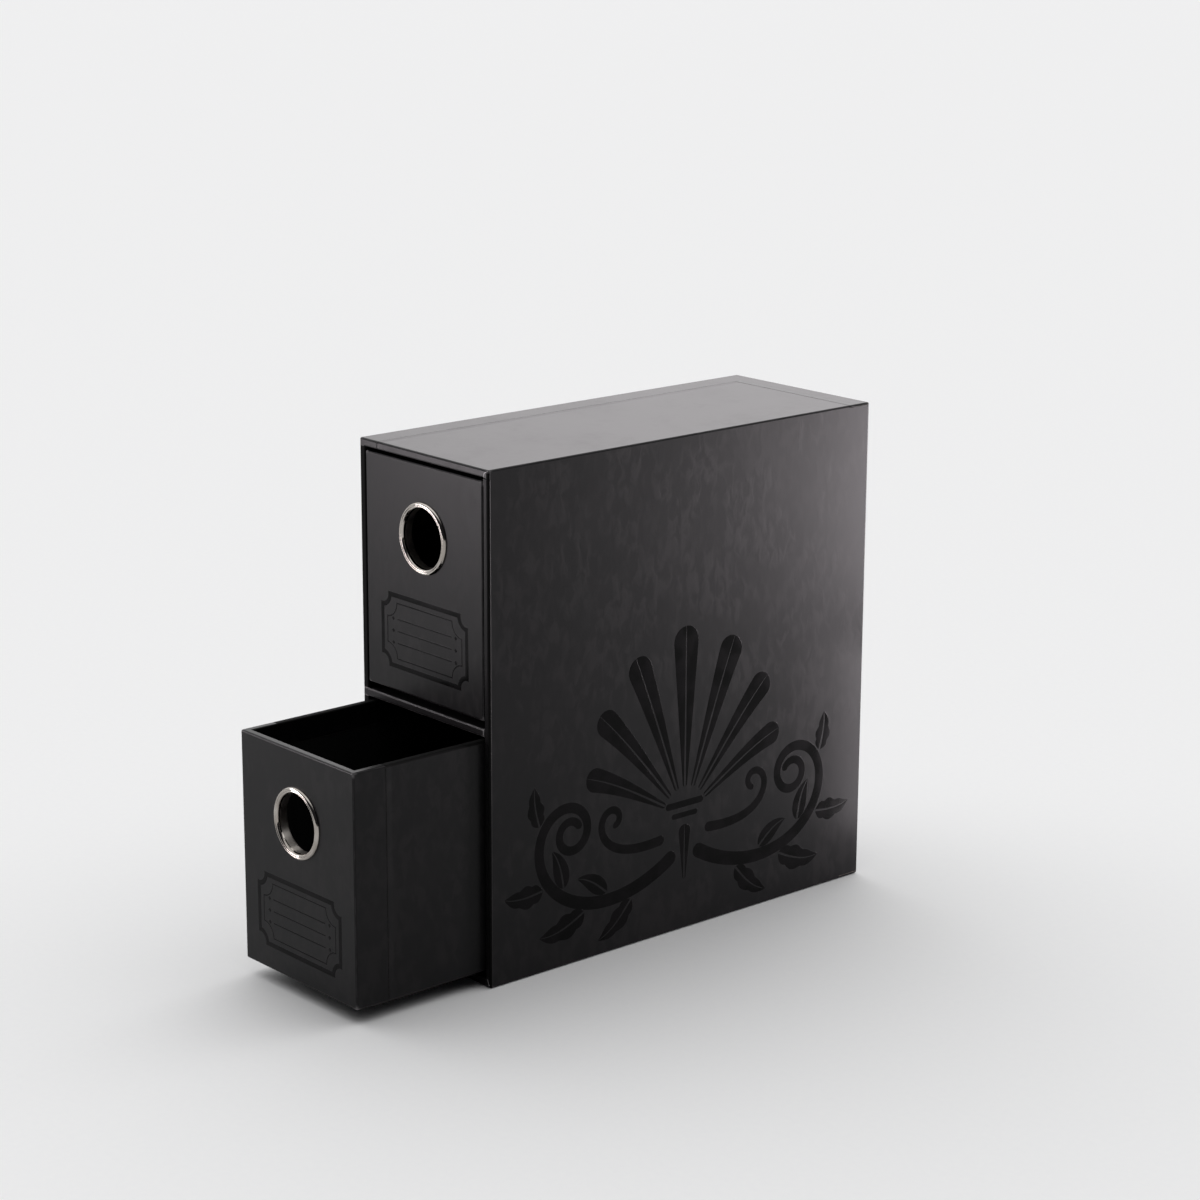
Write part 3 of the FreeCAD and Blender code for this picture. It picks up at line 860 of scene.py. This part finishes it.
@dataclass(frozen=True)
class LabelFrame:
    """A ticket-cornered frame with ruled lines, in gloss varnish below each finger ring."""

    width_mm: float = 56.0
    height_mm: float = 30.5
    corner_mm: float = 5.0
    corner_growth: float = 0.45  # How much wider a line's hollow corners get, per mm further in
    corner_points: int = 14
    line_mm: float = 2.1
    inner_line_mm: float = 0.6
    inner_gap_mm: float = 3.2
    rules: tuple[float, ...] = (5.2, 0.0, -5.2)
    rule_width_mm: float = 36.0
    rule_points: int = 9
    lozenge_mm: float = 1.0
    lozenge_place_mm: float = 20.8
    below_ring_mm: float = 43.1
    film: Film = Film()

    def outline(self, inset: float, offset: float) -> Array:
        """Draw the frame's outline, a rectangle whose corners are hollowed by quarter circles.

        At an offset outwards the sides move out by that much and the hollows' radius shrinks by it, so
        a hollow meets a side where the angle's sine is the offset over the radius.

        Args:
            inset: how far inside the frame's own outline this one lies.
            offset: how far outwards from it.

        Returns:
            The points round the outline, shaped (n, 2).
        """
        a, b = self.width_mm / 2 - inset, self.height_mm / 2 - inset
        radius = self.corner_mm + inset * self.corner_growth - offset
        start = math.asin(offset / radius)
        angles = np.linspace(-math.pi / 2 + start, -math.pi - start, self.corner_points)
        hollow = np.stack([a + radius * np.cos(angles), b + radius * np.sin(angles)], -1)
        flips = ((1, 1), (-1, 1), (-1, -1), (1, -1))
        return np.concatenate([hollow[:: x * y] * [x, y] for x, y in flips])

    def bands(self) -> list[tuple[Array, Array, bool]]:
        """Draw every line of the frame.

        Returns:
            The two edges of each, and whether it closes on itself.
        """
        thin = self.inner_line_mm / 2
        lines = ((0.0, self.line_mm / 2), (self.inner_gap_mm, thin))
        found = [(self.outline(inset, -half), self.outline(inset, half), True) for inset, half in lines]
        even = np.linspace(-1, 1, self.rule_points)
        x, along = even * self.rule_width_mm / 2, even * self.lozenge_mm
        rise = np.stack([0 * along, self.lozenge_mm - np.abs(along) + LEAST_MM], -1)
        for height in self.rules:
            rule = np.stack([x, 0 * x + height], -1)
            found.append((rule - [0, thin], rule + [0, thin], False))
            for place in (-self.lozenge_place_mm, self.lozenge_place_mm):
                line = np.stack([along + place, 0 * along + height], -1)
                found.append((line - rise, line + rise, False))
        return found

    def build(self, drawer: str, front_mm: float, ring_mm: float, finish: Material) -> None:
        """Print the frame on a drawer's front.

        Args:
            drawer: the drawer's body.
            front_mm: where the front's paper is, along Y.
            ring_mm: the finger ring's height.
            finish: the varnish.
        """
        origin = np.array([0.0, front_mm, ring_mm - self.below_ring_mm])
        parts = [skin(self.film.section(a, b, Face.FRONT, origin), closed) for a, b, closed in self.bands()]
        make_piece(f"{drawer}_label_frame", merge(parts), finish, drawer)


# Metal


@dataclass(frozen=True)
class FingerRing:
    """A pressed ring: a rolled rim on the front, a barrel through the board and a clenched edge."""

    bore_mm: float = 12.7
    rim_mm: float = 1.3
    metal_mm: float = 0.5
    board_mm: float = 4.0
    flange_mm: float = 14.6
    bend_mm: float = 0.3
    groove_mm: float = 0.3
    groove_at: float = 1.45  # In radians round the rim from the bore
    groove_spread: float = 0.2
    points: tuple[int, int, int] = (61, 7, 9)  # Along the rim, the bend and the flange's edge
    turns: int = 192

    def profile(self) -> Array:
        """Draw the ring's section, as distance from its middle and depth behind the front.

        The rim is half a circle proud of the front, less a shallow bell-shaped groove where the press
        sank it. The barrel runs back to a quarter circle that turns it outwards to a rounded edge.

        Returns:
            The points of the closed section, shaped (n, 2).
        """
        rim_points, bend_points, edge_points = self.points
        rim = np.linspace(math.pi, 0, rim_points)[:, None]
        centre = self.bore_mm + self.rim_mm
        groove = self.groove_mm * np.exp(-(((rim - self.groove_at) / self.groove_spread) ** 2))
        size = self.rim_mm - groove
        lip = np.hstack([centre - size * np.cos(rim), -size * np.sin(rim)])
        barrel, half = self.bore_mm + self.metal_mm, self.metal_mm / 2
        turn = np.linspace(0, math.pi / 2, bend_points)[:, None]
        way = np.hstack([-np.cos(turn), np.sin(turn)])
        turn_centre = np.array([[barrel + self.bend_mm, self.board_mm - self.bend_mm]])
        inside = turn_centre + way * self.bend_mm
        outside = turn_centre + way * (self.bend_mm + self.metal_mm)
        edge = np.linspace(-math.pi / 2, math.pi / 2, edge_points)[:, None]
        edge_centre = np.array([[self.flange_mm - half, self.board_mm + half]])
        end = edge_centre + np.hstack([np.cos(edge), np.sin(edge)]) * half
        return np.concatenate([lip[::-1], [[barrel, 0.0]], inside, end, outside[::-1]])

    def build(self, drawer: str, front_mm: float, height_mm: float, finish: Material) -> None:
        """Turn the section about the ring's axis, in place of the CAD ring.

        Args:
            drawer: the drawer's body.
            front_mm: where the drawer's front is, along Y.
            height_mm: the height of the ring's middle.
            finish: the plate.
        """
        radius, depth = self.profile().T
        angle = np.linspace(0, 2 * math.pi, self.turns, endpoint=False)[:, None]
        across, up, back = radius * np.cos(angle), radius * np.sin(angle), depth + 0 * angle
        loops = np.stack([across, front_mm + back, height_mm + up], -1)
        piece = make_piece(f"{drawer}_ring", skin(loops, True), finish, drawer)
        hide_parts(f"{drawer}_finger_ring")


# The box


def dress(frame: dict, node: str, finish: Material) -> None:
    """Give a CAD node its finish."""
    frame["nodes"][node].data.materials.clear()
    frame["nodes"][node].data.materials.append(finish)


@dataclass
class Case:
    """The outer case: boards, linings, wraps, base sheet and the ornament on its printed side."""

    frame: dict
    board: Material
    lining: Material
    base: Material
    varnish: Material
    lap_mm: float = 12.0
    wall_mm: float = 3.5
    edge_mm: float = 1.0  # How deep the walls' front edges reach
    boards: tuple[str, ...] = (
        "case_top_board", "case_bottom_board", "case_left_board", "case_right_board",
        "case_back_board", "shelf_board",
    )
    linings: tuple[str, ...] = ("upper_slot_lining", "lower_slot_lining")
    wraps: tuple[str, ...] = ("case_printed_wrap", "case_plain_wrap", "shelf_edge_wrap", "bottom_edge_wrap")

    def laps(self, box: Box) -> tuple[Lap, ...]:
        """Place the sheets' edges on the top and the bevels of the top's and the right wall's fronts.

        Args:
            box: the wrapped case.

        Returns:
            The laps, the right wall's last.
        """
        left, back = box.low[0] + self.lap_mm, box.high[1] - self.lap_mm
        top, wall = box.high[2], self.wall_mm
        under, edge = top - wall, (-FAR, box.low[1] + self.edge_mm)
        right_wall = Box.zone(y=edge, z=(-FAR, under))
        return (
            Lap(0, left, Box.zone(y=(-FAR, back), z=(under - 0.5, FAR))),
            Lap(1, back, Box.zone(x=(left, FAR), z=(top - 1.0, FAR))),
            Lap(2, under, Box.zone(y=edge), step_mm=0.68, fall_mm=wall + 0.5, bevel=True),
            Lap(0, box.high[0] - wall + 0.4, right_wall, step_mm=0.5, rise_mm=0.4, fall_mm=wall + 0.1,
                bevel=True),
        )

    def creases(self, box: Box) -> list[Crease]:
        """Place the mitre fold at the top right corner, and a loose end of paper at the wall's foot.

        The mitre bends between the corners and runs on down the wall's inner edge. Apart from the bend
        its points lie back a little, where the paper rounds the board.

        Args:
            box: the wrapped case.

        Returns:
            The creases.
        """
        right, front, top = box.high[0] - self.wall_mm, box.low[1], box.high[2]
        inner, back = (right + 0.4, top - self.wall_mm), front + 0.2
        outer, bend = (box.high[0] - 0.5, back, top - 0.4), (right + 1.0, front, top - 1.4)
        mitre = (outer, bend, (inner[0], back, inner[1]), (inner[0], back, inner[1] - 3.6))
        folds = [Crease(*fold) for fold in zip(mitre, mitre[1:], (0.22, 0.26, 0.24))]
        return [*folds, Crease((right + 1.2, front, 3.6), (right + 2.3, front, 1.2), 0.25)]

    def build(self) -> None:
        """Dress the case's nodes and print its ornament."""
        for node in self.boards:
            dress(self.frame, node, self.board)
        for node in self.linings:
            dress(self.frame, node, self.lining)
        dress(self.frame, "case_base_sheet", self.base)
        box = Box.of("case_printed_wrap", "case_plain_wrap")
        front, top, wall, laps = box.low[1], box.high[2], self.wall_mm, self.laps(box)
        # Painted shade: the left wall's front edge, and the right wall's front edge by its rounded corner,
        # are painted darker, as if turned away from the lights
        left_edge_shade = Box.zone((-FAR, box.low[0] + wall), (-FAR, front + self.edge_mm), (-FAR, top - wall))
        right_edge_shade = Box.zone((box.high[0] - wall + 2.2, FAR), (-FAR, front + 0.8), (-FAR, top - 1.2))
        name = "matt_laminated_black_paper_case"
        printed = LaminatedPaper(name + "_printed", laps=laps, dull=(right_edge_shade,), creases=self.creases(box))
        plain = LaminatedPaper(name + "_plain", laps=laps[:-1], dull=(left_edge_shade,)).make(box)
        # Painted light: the shelf's edge strip is a lighter copy of the case's paper, and its pale edge band
        # is a painted highlight along its folds and cut end
        painted_light_strip = LaminatedPaper(name + "_strip", colour="#1a191a", rub_and_highlight_colour="#8c8a8b", rub_and_highlight_mm=(0.1, 0.5))
        papers = (printed.make(box), plain, painted_light_strip.make(Box.of("shelf_edge_wrap")), plain)
        for node, paper in zip(self.wraps, papers):
            dress(self.frame, node, paper)
        SideOrnament().build(box.high[0], self.varnish)
        log.info("case dressed")


@dataclass
class Drawer:
    """One drawer: boards, lining, wraps, base pad, finger ring, washer and printed label frame."""

    frame: dict
    body: str
    board: Material
    lining: Material
    pad: Material
    varnish: Material
    flap_mm: float = 16.0
    rim_mm: float = 1.0  # How far below its top the sides' rim is scuffed dull
    boards: tuple[str, ...] = (
        "floor_board", "front_board", "back_board", "left_board", "right_board", "base_pad",
    )

    def build(self) -> None:
        """Dress the drawer's nodes, turn its ring and print its frame."""
        frame, body = self.frame, self.body
        for part in self.boards:
            dress(frame, f"{body}_{part}", self.board)
        dress(frame, f"{body}_lining", self.lining)
        dress(frame, f"{body}_base_pad_wrap", self.pad)
        wraps = (f"{body}_front_wrap", f"{body}_body_wrap")
        box = Box.of(*wraps)
        front, flap = box.low[1], box.low[1] + self.flap_mm
        name = f"matt_laminated_black_paper_{body}"
        dress(frame, wraps[0], LaminatedPaper(name + "_front").make(box))
        rim = Box.zone(y=(flap, FAR), z=(box.high[2] - self.rim_mm, FAR))
        paper = LaminatedPaper(name, laps=(Lap(1, flap, Box.zone()),), dull=(rim,))
        dress(frame, wraps[1], paper.make(box))
        ring = Box.of(f"{body}_finger_ring")
        height = (ring.low[2] + ring.high[2]) / 2
        plate = NickelPlate(f"bright_nickel_plate_{body}").make(front)
        dress(frame, f"{body}_ring_washer", plate)
        FingerRing().build(body, front, height, plate)
        LabelFrame().build(body, front, height, self.varnish)
        log.info("%s dressed", body)


# Studio


@dataclass(frozen=True)
class Softbox:
    """A soft rectangular studio light, in metres and watts."""

    name: str
    place: Point
    aim: Point
    size: Pair
    watts: float
    spread: float = 180.0
    colour: str = "#fff6fb"

    def build(self, lit: bpy.types.Collection) -> None:
        """Hang the light and turn it towards its aim.

        Args:
            lit: the collection that says what it lights.
        """
        lamp = bpy.data.lights.new(self.name, "AREA")
        lamp.shape = "RECTANGLE"
        lamp.size, lamp.size_y = self.size
        lamp.energy = self.watts
        lamp.spread = math.radians(self.spread)
        lamp.color = linear(self.colour)[:3]
        light = bpy.data.objects.new(self.name, lamp)
        light.location = self.place
        direction = Vector(self.aim) - Vector(self.place)
        light.rotation_euler = direction.to_track_quat("-Z", "Y").to_euler()
        light.visible_camera = False
        light.light_linking.receiver_collection = lit
        bpy.context.scene.collection.objects.link(light)


@dataclass(frozen=True)
class Studio:
    """A plain pale floor, soft lights and the photograph's camera, fitted to the box's corners."""

    floor_m: float = 60.0
    floor_colours: tuple[str, str] = ("#f6f6f6", "#f3f3f4")
    fleck_mm: float = 3.0
    room_colours: tuple[str, str] = ("#232325", "#ffffff")
    room_strength: float = 1.4
    bright_way: Point = (-0.45, 0.45, 0.77)  # Back and up from the camera
    bright_band: Pair = (0.16, 0.62)  # Its part of a direction, where the room goes from dark to bright
    camera_mm: Point = (964.85, -856.11, 483.85)
    azimuth: float = 48.82
    elevation: float = 14.94
    roll: float = 0.24
    picture_px: int = 1200
    focal_px: float = 3068.03
    sensor_mm: float = 36.0
    clip_m: Pair = (0.01, 100.0)
    softboxes: tuple[Softbox, ...] = (
        Softbox("rear_right_softbox", (0.26, 0.47, 0.095), (0.042, 0.12, 0.1), (0.12, 0.19), 3.05),
        Softbox("rear_right_strip", (0.08, 0.155, 0.045), (0.042, 0.11, 0.045), (0.026, 0.09), 0.055),
        Softbox("left_front_softbox", (-0.44, -0.62, 0.14), (0.0, -0.13, 0.12), (0.26, 0.22), 1.65),
        Softbox("left_front_strip", (-0.5, -0.56, 0.255), (0.0, -0.11, 0.22), (0.26, 0.035), 0.78),
        Softbox("rear_left_softbox", (-1.2, 1.3, 0.9), (0.0, 0.0, 0.22), (1.0, 0.7), 0.4, 60.0),
    )

    def floor(self) -> Piece:
        """Lay the floor, a square sheet of pale matt paper.

        Returns:
            The sheet.
        """
        reach = self.floor_m / 2
        data = bpy.data.meshes.new("studio_floor")
        corners = [(-reach, -reach, 0), (reach, -reach, 0), (reach, reach, 0), (-reach, reach, 0)]
        data.from_pydata(corners, [], [(0, 1, 2, 3)])
        material, nodes = start_material("pale_background_paper")
        nodes.finish(nodes.mix(nodes.noise(self.fleck_mm), *self.floor_colours), 0.9, specular=0.2)
        data.materials.append(material)
        sheet = bpy.data.objects.new("studio_floor", data)
        bpy.context.scene.collection.objects.link(sheet)
        return sheet

    def room(self) -> None:
        """Fill the room with soft light, brighter from behind and above than from the camera's side."""
        world = bpy.data.worlds.new("studio_room")
        world.use_nodes = True
        nodes = Nodes(world.node_tree)
        part = nodes.vector("DOT_PRODUCT", nodes.way, Vector(self.bright_way).normalized())["Value"]
        colour = nodes.mix(nodes.ramp(part, self.bright_band), *self.room_colours)
        light = nodes.add("Background", {"Color": colour, "Strength": self.room_strength})
        nodes.add("OutputWorld", {"Surface": light.outputs[0]})
        bpy.context.scene.world = world

    def camera(self) -> None:
        """Set up the camera, turned by its azimuth, its elevation and a small roll."""
        across, up, tilt = map(math.radians, (self.azimuth, self.elevation, self.roll))
        turn = Euler((math.pi / 2 - up, 0.0, across)).to_matrix() @ Matrix.Rotation(tilt, 3, "Z")
        lens = bpy.data.cameras.new("photograph_camera")
        lens.sensor_fit, lens.sensor_width = "HORIZONTAL", self.sensor_mm
        lens.lens = self.focal_px / self.picture_px * self.sensor_mm
        lens.clip_start, lens.clip_end = self.clip_m
        view = bpy.data.objects.new("photograph_camera", lens)
        view.matrix_world = Matrix.Translation(Vector(self.camera_mm) * MM) @ turn.to_4x4()
        bpy.context.scene.collection.objects.link(view)
        bpy.context.scene.camera = view

    def build(self) -> None:
        """Lay the floor, fill the room, hang the lights and set the camera.

        The softboxes stand close and low, so they light everything but the floor, which the room's
        soft light keeps plain.
        """
        lit = bpy.data.collections.new("everything_but_the_floor")
        lit.objects.link(self.floor())
        lit.collection_objects[0].light_linking.link_state = "EXCLUDE"
        self.room()
        for softbox in self.softboxes:
            softbox.build(lit)
        self.camera()
        bpy.context.scene.view_settings.view_transform = "Standard"
        log.info("studio ready")


def main() -> None:
    """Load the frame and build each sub-assembly's looks in order."""
    logging.basicConfig(level=logging.INFO, format="%(name)s: %(message)s")
    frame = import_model()
    board = Greyboard().make()
    lining = UncoatedPaper("uncoated_black_lining_paper").make()
    base = UncoatedPaper("uncoated_black_base_paper", "#151515", "#222121").make()
    varnish = SpotVarnish().make()
    Studio().build()
    Case(frame, board, lining, base, varnish).build()
    for body in ("upper_drawer", "lower_drawer"):
        Drawer(frame, body, board, lining, base, varnish).build()


if __name__ == "__main__":
    main()
